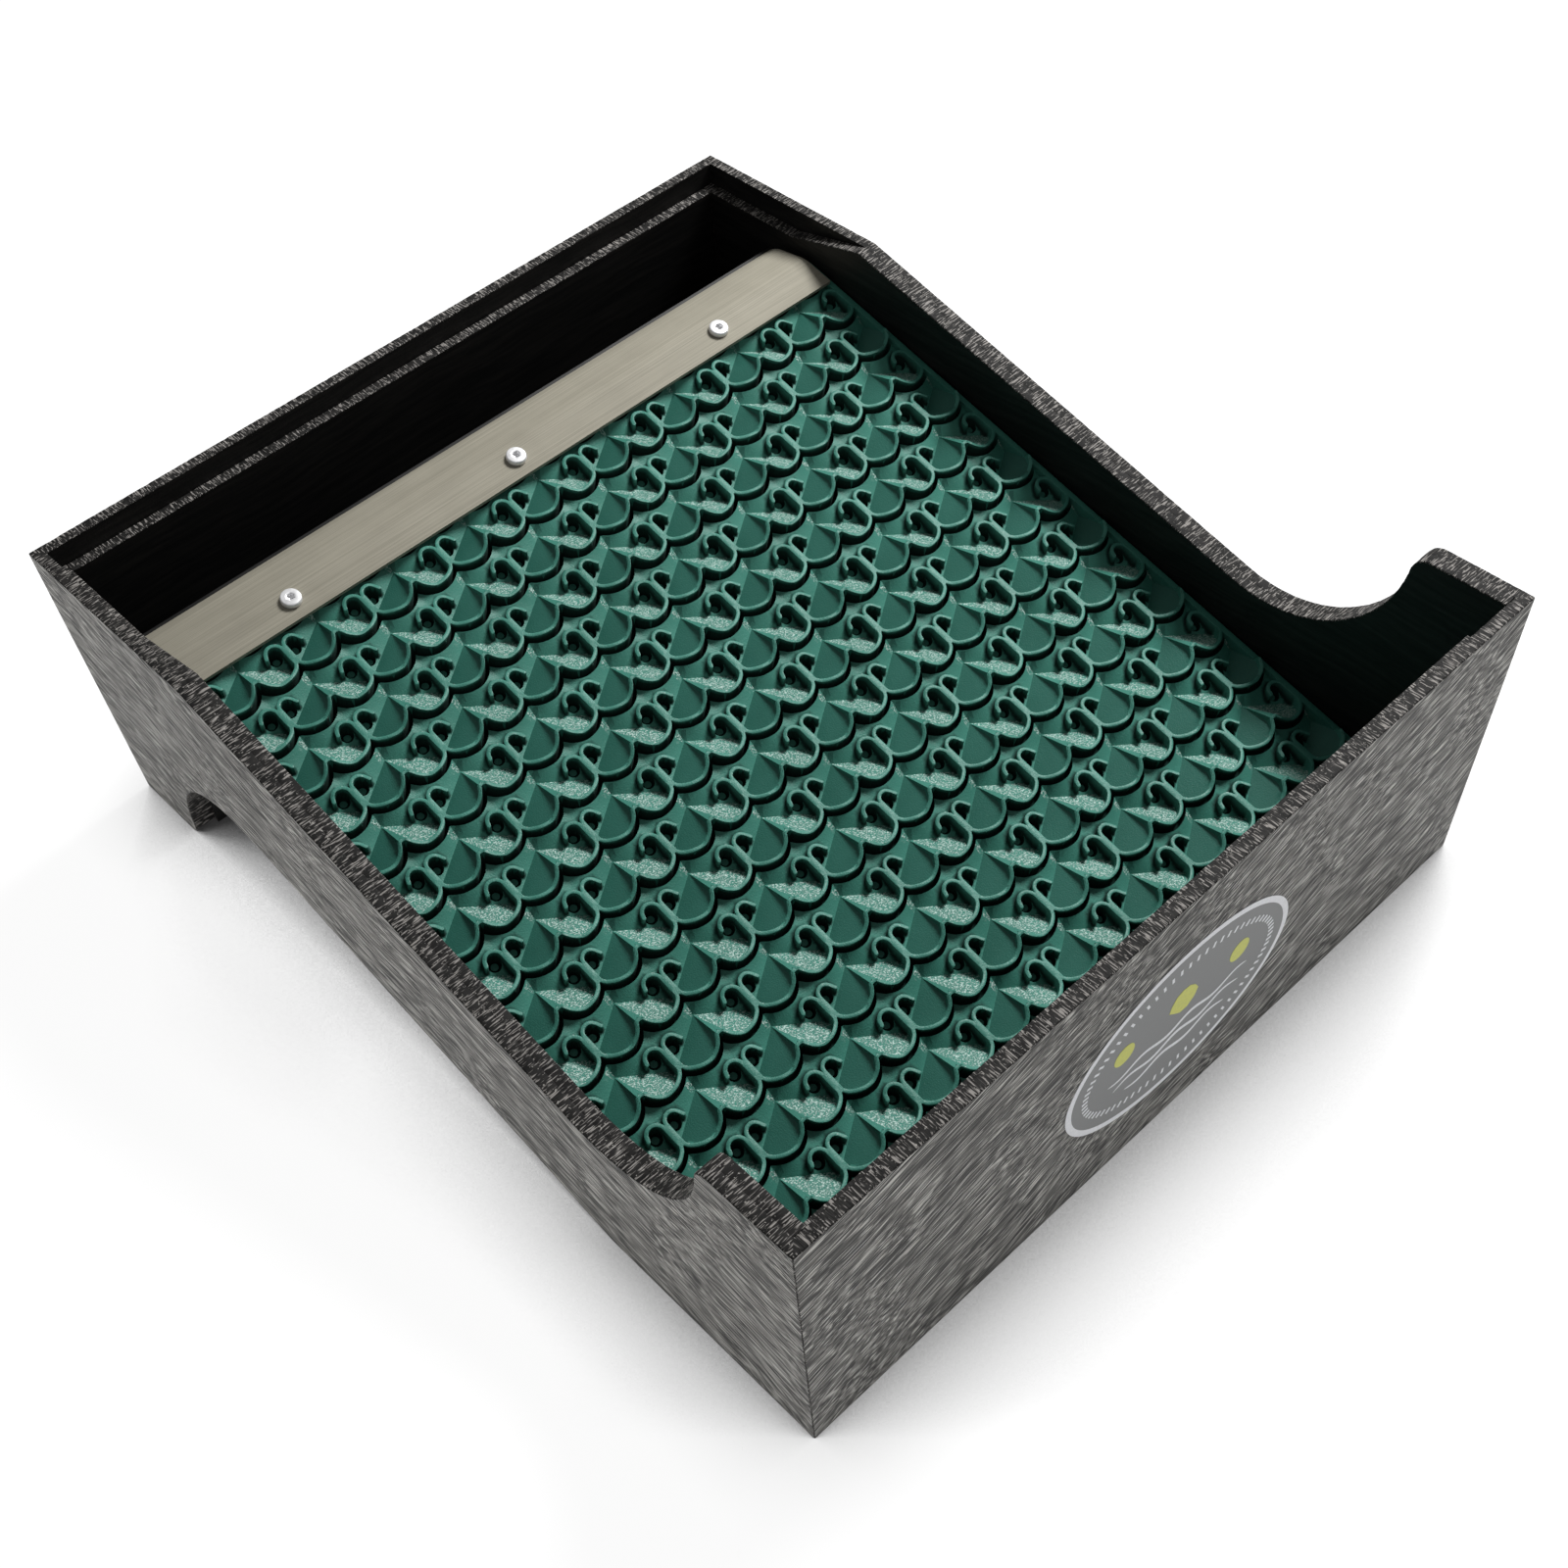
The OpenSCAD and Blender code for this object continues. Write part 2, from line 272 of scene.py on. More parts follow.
class Nodes:
    """Short names for building a node tree."""

    def __init__(self, name):
        self.material = bpy.data.materials.new(name)
        self.material.use_nodes = True
        self.tree = self.material.node_tree
        self.shader = self.tree.nodes["Principled BSDF"]
        self.place = self.add("ShaderNodeTexCoord").outputs["Object"]

    def add(self, kind, **settings):
        node = self.tree.nodes.new(kind)
        for key, value in settings.items():
            setattr(node, key, value)
        return node

    def link(self, source, target):
        self.tree.links.new(source, target)

    def scaled(self, vector, scale, offset=(0, 0, 0)):
        node = self.add("ShaderNodeMapping")
        self.link(vector, node.inputs["Vector"])
        node.inputs["Scale"].default_value = scale
        node.inputs["Location"].default_value = offset
        return node.outputs["Vector"]

    def turned(self, vector, degrees):
        node = self.add("ShaderNodeMapping")
        self.link(vector, node.inputs["Vector"])
        node.inputs["Rotation"].default_value = tuple(math.radians(a) for a in degrees)
        return node.outputs["Vector"]

    def noise(self, vector, scale=1.0, detail=4.0, roughness=0.55):
        node = self.add("ShaderNodeTexNoise")
        self.link(vector, node.inputs["Vector"])
        node.inputs["Scale"].default_value = scale
        node.inputs["Detail"].default_value = detail
        node.inputs["Roughness"].default_value = roughness
        return node.outputs

    def warped(self, vector, scale, amount):
        """The vector pushed about by a slow noise, which makes streaks swirl."""
        colour = self.noise(vector, scale, 2.0)["Color"]
        centred = self.vector_math("SUBTRACT", colour, (0.5, 0.5, 0.5))
        pushed = self.vector_math("MULTIPLY", centred, amount)
        return self.vector_math("ADD", vector, pushed)

    def vector_math(self, operation, a, b):
        node = self.add("ShaderNodeVectorMath", operation=operation)
        self.link(a, node.inputs[0])
        if isinstance(b, tuple):
            node.inputs[1].default_value = b
        else:
            self.link(b, node.inputs[1])
        return node.outputs[0]

    def ramp(self, value, low, high, out_low=0.0, out_high=1.0):
        node = self.add("ShaderNodeMapRange")
        self.link(value, node.inputs["Value"])
        node.inputs["From Min"].default_value = low
        node.inputs["From Max"].default_value = high
        node.inputs["To Min"].default_value = out_low
        node.inputs["To Max"].default_value = out_high
        return node.outputs["Result"]

    def band(self, value, low, high, soft):
        """1 between low and high, and fading to 0 over soft beyond them."""
        rise = self.ramp(value, low - soft, low)
        fall = self.ramp(value, high + soft, high)
        return self.math("MULTIPLY", rise, fall)

    def math(self, operation, a, b):
        node = self.add("ShaderNodeMath", operation=operation)
        for socket, value in zip(node.inputs, (a, b)):
            if isinstance(value, (int, float)):
                socket.default_value = value
            else:
                self.link(value, socket)
        return node.outputs[0]

    def mix(self, factor, a, b):
        node = self.add("ShaderNodeMix", data_type="RGBA")
        self.link(factor, node.inputs["Factor"])
        colour_inputs = [s for s in node.inputs if s.type == "RGBA"]
        for socket, value in zip(colour_inputs, (a, b)):
            if isinstance(value, tuple):
                socket.default_value = (*value, 1.0)
            else:
                self.link(value, socket)
        return [s for s in node.outputs if s.type == "RGBA"][0]

    def bump(self, height, distance, strength=1.0):
        node = self.add("ShaderNodeBump")
        self.link(height, node.inputs["Height"])
        node.inputs["Distance"].default_value = distance
        node.inputs["Strength"].default_value = strength
        self.link(node.outputs["Normal"], self.shader.inputs["Normal"])

    def set(self, **values):
        for key, value in values.items():
            socket = self.shader.inputs[key.replace("_", " ")]
            if isinstance(value, (int, float)):
                socket.default_value = value
            elif isinstance(value, tuple):
                socket.default_value = (*value, 1.0)
            else:
                self.link(value, socket)


def stretched(along, across, direction):
    """Texture scales per metre: slow along the direction ("x", "y" or "z") and quick across it."""
    return tuple(along if axis == direction else across for axis in "xyz")


BROWN_PIT = (0.00572, 0.0055, 0.00506)
BROWN_DARK = (0.026, 0.025, 0.023)
BROWN_LIGHT = (0.255, 0.246, 0.226)
BROWN_LIGHT_IN_PAINTED_SHADE = (0.172, 0.166, 0.152)       # the end walls' light fibres, painted dimmer than the sides' as shade
BROWN_FLECK = (0.62, 0.61, 0.57)
EDGE_DARK = (0.004, 0.0038, 0.0035)
EDGE_LIGHT = (0.014, 0.0132, 0.0124)
EDGE_SCRATCH = (0.252, 0.2376, 0.2232)
EDGE_FLECK = (0.45, 0.43, 0.40)


def board_material(name, direction, tilt, light):
    """Streaked board: long fibres that lean by tilt from the direction, with swirls and short dashes."""
    n = Nodes(name)
    leaning = n.turned(n.place, (0, tilt, 0) if direction == "x" else (-tilt, 0, 0))
    swirl = n.warped(leaning, 8.0, (0.024, 0.024, 0.024))
    broad = n.noise(n.scaled(swirl, stretched(7, 60, direction)), 1.0, 3.0, 0.6)["Fac"]
    fibres = n.noise(n.scaled(swirl, stretched(36, 900, direction)), 1.0, 2.0, 0.5)["Fac"]
    dashes = n.noise(n.scaled(swirl, stretched(80, 1700, direction), (3, 1, 7)), 1.0, 1.0, 0.5)["Fac"]
    hairs = n.noise(n.scaled(swirl, stretched(70, 1900, direction), (9, 4, 2)), 1.0, 1.0, 0.5)["Fac"]
    tone = n.math("ADD", n.math("MULTIPLY", broad, 0.14), n.math("MULTIPLY", fibres, 0.36))
    tone = n.math("ADD", tone, n.math("MULTIPLY", hairs, 0.50))
    colour = n.mix(n.ramp(tone, 0.455, 0.555), BROWN_DARK, light)
    colour = n.mix(n.ramp(dashes, 0.54, 0.64, 0.0, 0.85), colour, BROWN_PIT)
    colour = n.mix(n.ramp(dashes, 0.44, 0.35, 0.0, 0.85), colour, BROWN_FLECK)
    n.set(Base_Color=colour, Roughness=n.ramp(fibres, 0.3, 0.7, 0.66, 0.50), Specular_IOR_Level=0.3)
    n.bump(n.math("ADD", hairs, n.math("MULTIPLY", dashes, 0.8)), 0.00025, 0.8)
    return n.material


def edge_material(name, direction):
    """Sawn edge: charcoal with light scratches along the direction and a few white flecks."""
    n = Nodes(name)
    scratch = n.noise(n.scaled(n.place, stretched(240, 2000, direction)), 1.0, 1.0, 0.5)["Fac"]
    cloud = n.noise(n.place, 160.0, 3.0)["Fac"]
    fleck = n.noise(n.scaled(n.place, (1.0, 1.0, 1.0), (0.3, 0.1, 0.2)), 900.0, 2.0, 0.7)["Fac"]
    colour = n.mix(n.ramp(cloud, 0.35, 0.65), EDGE_DARK, EDGE_LIGHT)
    colour = n.mix(n.ramp(scratch, 0.55, 0.65), colour, EDGE_SCRATCH)
    colour = n.mix(n.ramp(fleck, 0.64, 0.70, 0.0, 0.6), colour, EDGE_FLECK)
    n.set(Base_Color=colour, Roughness=0.72, Specular_IOR_Level=0.2)
    n.bump(n.math("ADD", scratch, n.math("MULTIPLY", cloud, 0.5)), 0.00030, 0.9)
    return n.material


def black_board_material(name, direction):
    """Black inner face with faint fibres."""
    n = Nodes(name)
    swirl = n.warped(n.place, 11.0, (0.010, 0.010, 0.010))
    fibres = n.noise(n.scaled(swirl, stretched(25, 500, direction)), 1.0, 5.0, 0.65)["Fac"]
    colour = n.mix(n.ramp(fibres, 0.4, 0.72), (0.0035, 0.0035, 0.0035), (0.016, 0.015, 0.014))
    n.set(Base_Color=colour, Roughness=n.ramp(fibres, 0.3, 0.7, 0.60, 0.48), Specular_IOR_Level=0.25)
    n.bump(fibres, 0.00012, 0.6)
    return n.material


PAINTED_SHADE = "painted_shade"      # a point attribute of the mat for painted shade: 1 deep in its wells and grooves
FACET_LEAN = (0.305, 0.350)     # the sideways part of a normal on a pocket's two planes
FACET_SOFT = 0.015


def rubber_material(name):
    """Moulded teal rubber. Of a pocket's two planes the one facing +X gets bump specks and painted glints,
    lighter specks that stand in for highlights, and the one facing -X is painted darker as shade. The
    wells and grooves are painted darker as shade too.
    """
    n = Nodes(name)
    cloud = n.noise(n.place, 45.0, 3.0)["Fac"]
    grain = n.noise(n.place, 2000.0, 2.0, 0.6)["Fac"]
    colour = n.mix(n.ramp(cloud, 0.35, 0.65), (0.036, 0.165, 0.126), (0.050, 0.208, 0.162))
    colour = n.mix(n.ramp(grain, 0.60, 0.78, 0.0, 0.35), colour, (0.16, 0.36, 0.30))
    painted_shade = n.add("ShaderNodeAttribute", attribute_name=PAINTED_SHADE).outputs["Fac"]
    parts = n.add("ShaderNodeSeparateXYZ")
    n.link(n.add("ShaderNodeNewGeometry").outputs["True Normal"], parts.inputs["Vector"])
    low, high = FACET_LEAN
    # Painted highlight: on the plane whose normal leans to +X, specks are lightened as glints. They are
    # raised as bumps too.
    painted_highlight_side = n.band(parts.outputs["X"], low, high, FACET_SOFT)
    speck = n.noise(n.place, 1500.0, 2.0, 0.7)["Fac"]
    specks_and_painted_glints = n.math("MULTIPLY", painted_highlight_side, n.ramp(speck, 0.47, 0.58))
    colour = n.mix(n.math("MULTIPLY", specks_and_painted_glints, 0.8), colour, (0.46, 0.60, 0.55))
    # Painted shade: the plane whose normal leans to -X is darkened.
    painted_shade_side = n.band(parts.outputs["X"], -high, -low, FACET_SOFT)
    colour = n.mix(n.math("MULTIPLY", painted_shade_side, 0.60), colour, (0.008, 0.060, 0.045))
    # Painted shade: the colour sinks to near black deep in wells and grooves.
    colour = n.mix(n.ramp(painted_shade, 0.0, 0.2), colour, (0.006, 0.030, 0.023))
    gloss = n.math("MAXIMUM", n.ramp(grain, 0.3, 0.7, 0.40, 0.54), n.ramp(painted_shade, 0.0, 0.1, 0.0, 0.95))
    n.set(Base_Color=colour, Roughness=gloss, Specular_IOR_Level=0.3)
    n.bump(n.math("ADD", grain, n.math("MULTIPLY", specks_and_painted_glints, 1.5)), 0.00016, 0.9)
    return n.material


def brushed_material(name, direction, dark, light, roughness):
    """Metal brushed along the direction."""
    n = Nodes(name)
    lines = n.noise(n.scaled(n.place, stretched(14, 3200, direction)), 1.0, 3.0, 0.7)["Fac"]
    cloud = n.noise(n.place, 60.0, 3.0)["Fac"]
    tone = n.math("ADD", n.math("MULTIPLY", lines, 0.85), n.math("MULTIPLY", cloud, 0.15))
    colour = n.mix(n.ramp(tone, 0.38, 0.62), dark, light)
    n.set(Base_Color=colour, Roughness=n.ramp(lines, 0.3, 0.7, roughness, roughness + 0.12))
    n.set(Specular_IOR_Level=0.15)
    n.bump(lines, 0.00004, 0.5)
    return n.material


def plain_material(name, colour, roughness, metallic=0.0, speckle=900.0):
    """An even surface with a fine speckle in tone, gloss and height."""
    n = Nodes(name)
    grain = n.noise(n.place, speckle, 3.0)["Fac"]
    tone = n.mix(n.ramp(grain, 0.35, 0.65), tuple(0.88 * c for c in colour), colour)
    n.set(Base_Color=tone, Metallic=metallic)
    n.set(Roughness=n.ramp(grain, 0.3, 0.7, roughness, roughness + 0.08))
    n.bump(grain, 0.00003, 0.4)
    return n.material


brown_y = board_material("brown board along y", "y", 13, BROWN_LIGHT)
# The end walls get the sides' board with its light fibres painted dimmer, as shade.
brown_x = board_material("brown board along x", "x", 17, BROWN_LIGHT_IN_PAINTED_SHADE)
edge_across_x = edge_material("sawn edge scratched along x", "x")
edge_across_y = edge_material("sawn edge scratched along y", "y")
black_y = black_board_material("black board along y", "y")
black_x = black_board_material("black board along x", "x")
rubber = rubber_material("teal rubber")
strip_metal = brushed_material("brushed strip", "x", (0.212, 0.199, 0.158), (0.300, 0.282, 0.228), 0.60)
steel = plain_material("bright steel", (0.88, 0.88, 0.89), 0.28, 0.45, 500.0)
label_silver = plain_material("label silver", (0.80, 0.81, 0.84), 0.40)
label_grey = plain_material("label grey", (0.185, 0.19, 0.19), 0.45)
label_green = plain_material("label yellow-green", (0.60, 0.62, 0.08), 0.42)


# ---------------------------------------------------------------- the board box

def side_outline(margin=0.0):
    """Outline of a side in (y, z). margin makes both ends longer, so that they can be mitred."""
    scoop_z = rim_z(SCOOP_Y) + SCOOP_R / math.cos(SLOPE)
    post_z = BOX_H - POST_R
    reach = math.sqrt((SCOOP_R + POST_R) ** 2 - (scoop_z - post_z) ** 2)
    turn = math.degrees(math.atan2(scoop_z - post_z, reach))
    end = HALF_L + margin
    upper = [(end, BOX_H), (KINK_Y, BOX_H)]
    upper += arc(SCOOP_Y, scoop_z, SCOOP_R, -90 + math.degrees(SLOPE), -180 + turn, 40)
    upper += arc(SCOOP_Y - reach, post_z, POST_R, turn, 90, 10)
    upper += [(-end, BOX_H)]
    return upper + [(-y, BOX_H - z) for y, z in upper]


def cut_corner(bm, sx, sy, mitre):
    """Cuts a panel's end along a mitre, and takes the sharpness off the box's upright edge."""
    cut(bm, (sx * HALF_W, sy * HALF_L, 0), mitre)
    cut(bm, (sx * (HALF_W - CORNER_CHAMFER), sy * HALF_L, 0), (sx, sy, 0))


def side_panel(sx, name):
    """The outer board of a side, with both ends mitred."""
    lo, hi = (HALF_W - SHEET, HALF_W) if sx > 0 else (-HALF_W, -HALF_W + SHEET)
    radii = (SEAM_R, PANEL_R) if sx > 0 else (PANEL_R, SEAM_R)
    bm = extrude_rounded(side_outline(MITRE_SPARE), lo, hi, "x", radii, 3, SAW_DEPTH)
    for sy in (-1, 1):
        cut_corner(bm, sx, sy, (-sx, sy, 0))
    obj = smooth(new_object(name, bm))
    outer_first = (brown_y, black_y) if sx > 0 else (black_y, brown_y)
    finish_piece(obj, name, "brown_board", *outer_first, edge_across_x)


def end_panel(sy, name):
    """The front or back board, with both ends mitred."""
    lo, hi = (HALF_L - SHEET, HALF_L) if sy > 0 else (-HALF_L, -HALF_L + SHEET)
    reach = HALF_W + MITRE_SPARE
    outline = [(-reach, 0), (reach, 0), (reach, BOX_H), (-reach, BOX_H)]
    bm = extrude_rounded(outline, lo, hi, "y", (PANEL_R, PANEL_R), 3, SAW_DEPTH)
    for sx in (-1, 1):
        cut_corner(bm, sx, sy, (sx, -sy, 0))
    obj = smooth(new_object(name, bm))
    outer_first = (brown_x, black_x) if sy > 0 else (black_x, brown_x)
    finish_piece(obj, name, "brown_board", *outer_first, edge_across_y)


def side_liner(sx, name):
    """The black board inside a side. It follows the side's outline and steps down at the back."""
    lo, hi = box_mm(name)
    ledge = BOX_H - LEDGE_DROP
    outline = [(LINER_L, ledge), (LEDGE_Y, ledge)]
    for y, z in side_outline():
        y = max(-LINER_L, min(LINER_L, y))
        if y <= KINK_Y or z <= BOX_H / 2:
            outline.append((y, z))
    radii = (LINER_R, SEAM_R) if sx > 0 else (SEAM_R, LINER_R)
    bm = extrude_rounded(outline, lo[0], hi[0], "x", radii, 3, SAW_DEPTH)
    finish_piece(smooth(new_object(name, bm)), name, "black_board", black_y, black_y, edge_across_x)


def end_liner(name):
    """The black board inside the front or back wall, with the box of its CAD node."""
    lo, hi = box_mm(name)
    outline = [(lo[0], lo[2]), (hi[0], lo[2]), (hi[0], hi[2]), (lo[0], hi[2])]
    bm = extrude_rounded(outline, lo[1], hi[1], "y", (BOARD_R, BOARD_R), 3, FINE_SAW_DEPTH)
    finish_piece(smooth(new_object(name, bm)), name, "black_board", black_x, black_x, edge_across_y)


def cross_board(name, outline):
    """A board across the box, between the side liners, from an outline in (y, z)."""
    bm = extrude_rounded(outline, -IN_W, IN_W, "x", (CROSS_R, CROSS_R), 2)
    obj = smooth(new_object(name, bm))
    finish_piece(obj, name, "black_board", edge_across_x, edge_across_x, black_x)


def boards_under_the_mat():
    """The sloped floor plate, and the riser and floor of the trap behind it."""
    front, back = (corner[1] for corner in box_mm("floor_plate"))
    riser_heel = box_mm("trap_riser")[1][1]
    trap_front, trap_back = (corner[1] for corner in box_mm("trap_floor"))
    cross_board("floor_plate", [
        (front, below_mat(front, MAT_T + SHEET)),
        (back, below_mat(back, MAT_T + SHEET)),
        (back, below_mat(back, MAT_T)),
        (front, below_mat(front, MAT_T)),
    ])
    riser_foot, riser_top = riser_heel - SHEET, back - SHEET
    cross_board("trap_riser", [
        (riser_foot, 0),
        (riser_foot + SHEET, 0),
        (back, below_mat(back, MAT_T + SHEET)),
        (riser_top, below_mat(riser_top, MAT_T + SHEET)),
    ])
    cross_board("trap_floor", [
        (riser_heel, 0),
        (trap_back, 0),
        (trap_back, SHEET),
        (trap_front, SHEET),
    ])


for side, sign in (("left", -1), ("right", 1)):
    side_panel(sign, "side_panel_" + side)
    side_liner(sign, "side_liner_" + side)
end_panel(-1, "front_panel")
end_panel(1, "back_panel")
end_liner("front_liner")
end_liner("back_liner")
boards_under_the_mat()


# ---------------------------------------------------------------- the riffle mat

# A cell is half a pitch wide: u goes across from its stem, and v up the slope from its bow's bottom.
# Each of these heights is over the mat's top plane, and each pair of radii or distances is a steep wall.
PITCH = 33.23           # from one stem to the next in a row
ROW = 19.47             # from one row to the next, up the slope
HALF = PITCH / 2
STEM_X = -0.9           # a stem of an even row
FIRST_S = 0.1           # the bottom of row 0's bow, up the slope
STEM_EDGE = 0.65        # half the width of a stem's middle
STEM_LOW, STEM_HIGH = 4.5, 12.2
RIDGE_FLAT = 0.44       # from a ridge's line to the end of its flat top,
RIDGE_EDGE = 0.64       # of its round edge,
RIDGE_FOOT = 0.78       # and of its wall
EDGE_DROP = 0.12
BOW_H = 0.7
GROOVE = (2.05, 2.20)   # from a bow's line to the far wall of the groove under it
GROOVE_FLOOR = -7.2
LAND_EDGE = -1.9        # the land between cells, where it meets the groove
WELL = (3.9, 12.2)
WELL_R = (2.30, 2.45)
WELL_FLOOR = -8.0
BOSS_R = (1.35, 1.50)   # of the round boss in a well
BOSS_H = -6.0
APEX = (HALF, 16.4)     # where a pocket's two planes meet its crest
APEX_H = -4.6
FACET_RISE = (0.386, -0.500)    # how a pocket's plane rises with u and v
HINGE_END = (1.2, 6.5)  # the far end of the line where plane and land meet
HINGE_END_H = -5.6
CUSP_V = 5.0            # where the crest meets the cusp between two bows
CUSP_H = 3.0
CREST_W = 1.2
CREST_SKIRT = 0.15
# Painted shade on the mat's colour: how deep it sets in, and its share on the bosses and at the feet of
# stems and hooks.
GLOOM_TOP = -5.7        # what lies 1 mm or more under this is fully dark,
BOSS_GLOOM = 0.03       # but for the bosses,
FOOT_GLOOM = 0.25       # and the feet of stems and hooks are a little dark
FILL_U, FILL_V, FILL_GAP = 1.6, 1.45, 0.75      # spacing of the points between the lines
MAT_BACK = 127.5        # the mat's back end, up the slope
BORDER_W = 3.0          # the plain border along the mat's right side
BORDER_R = 1.2


def through(points, per_span):
    """A smooth curve through the points."""
    p = np.array([points[0]] + list(points) + [points[-1]], float)
    out = []
    for a, b, c, d in zip(p, p[1:], p[2:], p[3:]):
        for t in np.arange(per_span) / per_span:
            out.append(0.5 * (2 * b + (c - a) * t + (2 * a - 5 * b + 4 * c - d) * t * t
                              + (3 * b - a - 3 * c + d) * t ** 3))
    out.append(p[-1])
    return np.array(out)


hook_line = np.array(arc(3.8, 12.3, 3.15, 180, 10, 12) + [(7.25, 12.0)])
bow_line = through(
    [(0.65, 4.5), (1.8, 2.7), (4.9, 0.7), (8.5, 0.0), (11.0, 0.5), (13.6, 2.1), (15.4, 4.7)], 3
)
bow_line = np.vstack([bow_line, [(HALF, 5.0)]])


def distance(u, v, line):
    """Distance from points to a line of straight stretches."""
    best = np.full(np.shape(u), 1e9)
    for (x0, y0), (x1, y1) in zip(line, line[1:]):
        dx, dy = x1 - x0, y1 - y0
        t = np.clip(((u - x0) * dx + (v - y0) * dy) / (dx * dx + dy * dy), 0, 1)
        best = np.minimum(best, np.hypot(u - x0 - t * dx, v - y0 - t * dy))
    return best


def stem_distance(u, v):
    """Distance from a stem's middle."""
    du = np.maximum(u - STEM_EDGE, 0)
    dv = np.maximum(np.maximum(STEM_LOW - v, v - STEM_HIGH), 0)
    return np.hypot(du, dv)


def ease(x, low, high):
    """0 below low, 1 above high, and a smooth step between."""
    t = np.clip((x - low) / (high - low), 0, 1)
    return t * t * (3 - 2 * t)


def bow_top(u):
    """Height of a bow's ridge, which climbs to the cusp at its end."""
    return BOW_H * ease(u, 1.0, 6.0) + (CUSP_H - BOW_H) * ease(u, 9.5, 16.2)


def hook_top(u, v):
    """Height of a hook's ridge, which sinks toward its tip."""
    return -0.4 * ease(v, 12.0, 14.5) - 0.6 * ease(u, 4.5, 7.5)


def offset_line(line, d):
    """A line moved to its left by d."""
    along = np.gradient(line, axis=0)
    along /= np.linalg.norm(along, axis=1)[:, None]
    return line + d * np.c_[-along[:, 1], along[:, 0]]



def steep(distance_in, wall):
    """1 inside a steep wall, 0 outside it, and the slope of the wall between."""
    return np.clip((wall[1] - distance_in) / (wall[1] - wall[0]), 0, 1)


def cell_floor(u, v, to_bow_above):
    """Height between the ridges of one cell: pocket, land, well, crest and groove."""
    facet = APEX_H + FACET_RISE[0] * (u - APEX[0]) + FACET_RISE[1] * (v - APEX[1])
    hx, hy = HINGE_END[0] - APEX[0], HINGE_END[1] - APEX[1]
    beyond = ((v - APEX[1]) * -hx + (u - APEX[0]) * hy) / math.hypot(hx, hy)
    hinge_h = np.interp(u, (HINGE_END[0], APEX[0]), (HINGE_END_H, APEX_H))
    edge = np.maximum(to_bow_above - GROOVE[1], 0)
    part = edge / np.maximum(edge + np.maximum(beyond, 0), 1e-6)
    land = LAND_EDGE + (hinge_h - LAND_EDGE) * part
    floor = np.where(beyond > 0, land, facet)
    from_well = np.hypot(u - WELL[0], v - WELL[1])
    floor = floor + (np.minimum(WELL_FLOOR, floor) - floor) * steep(from_well, WELL_R)
    floor = floor + (BOSS_H - floor) * steep(from_well, BOSS_R)
    crest_w = CREST_W * (APEX[1] - v) / (APEX[1] - CUSP_V)
    crest_h = APEX_H + (CUSP_H - APEX_H) * (APEX[1] - v) / (APEX[1] - CUSP_V)
    on_crest = np.clip(1 - (APEX[0] - u - crest_w) / CREST_SKIRT, 0, 1)
    on_crest = np.where((v < APEX[1]) & (v > CUSP_V - 1), on_crest, 0)
    floor = np.maximum(floor, floor + (crest_h - floor) * on_crest)
    return floor + (GROOVE_FLOOR - floor) * steep(to_bow_above, GROOVE)


def mat_height(x, s):
    """Height of the moulded face over the ridge plane, for x in one half pitch."""
    k = np.floor((s - FIRST_S) / ROW).astype(int)
    chosen = np.full(np.shape(x), -99)
    for shift in (1, 0, -1):
        j = k + shift
        u = np.where(j % 2 == 0, x, HALF - x)
        v = s - FIRST_S - j * ROW
        bow_v = np.interp(u, bow_line[:, 0], bow_line[:, 1])
        chosen = np.where((chosen == -99) & (v >= bow_v), j, chosen)
    u = np.where(chosen % 2 == 0, x, HALF - x)
    v = s - FIRST_S - chosen * ROW
    above_u, above_v = HALF - u, v - ROW
    d_stem, d_hook = stem_distance(u, v), distance(u, v, hook_line)
    d_bow, d_above = distance(u, v, bow_line), distance(above_u, above_v, bow_line)
    d_above = np.minimum(d_above, stem_distance(above_u, above_v))
    tops = np.stack([0 * u, hook_top(u, v), bow_top(u), bow_top(above_u)])
    gaps = np.stack([d_stem, d_hook, d_bow, d_above])
    nearest = gaps.argmin(0)
    d = np.take_along_axis(gaps, nearest[None], 0)[0]
    top = np.take_along_axis(tops, nearest[None], 0)[0]
    floor = cell_floor(u, v, d_above)
    wall = np.clip((d - RIDGE_EDGE) / (RIDGE_FOOT - RIDGE_EDGE), 0, 1)
    crown = top - EDGE_DROP * ease(d, RIDGE_FLAT, RIDGE_EDGE)
    height = np.where(d < RIDGE_FOOT, crown + (floor - crown) * wall, floor)
    return np.maximum(height, floor)


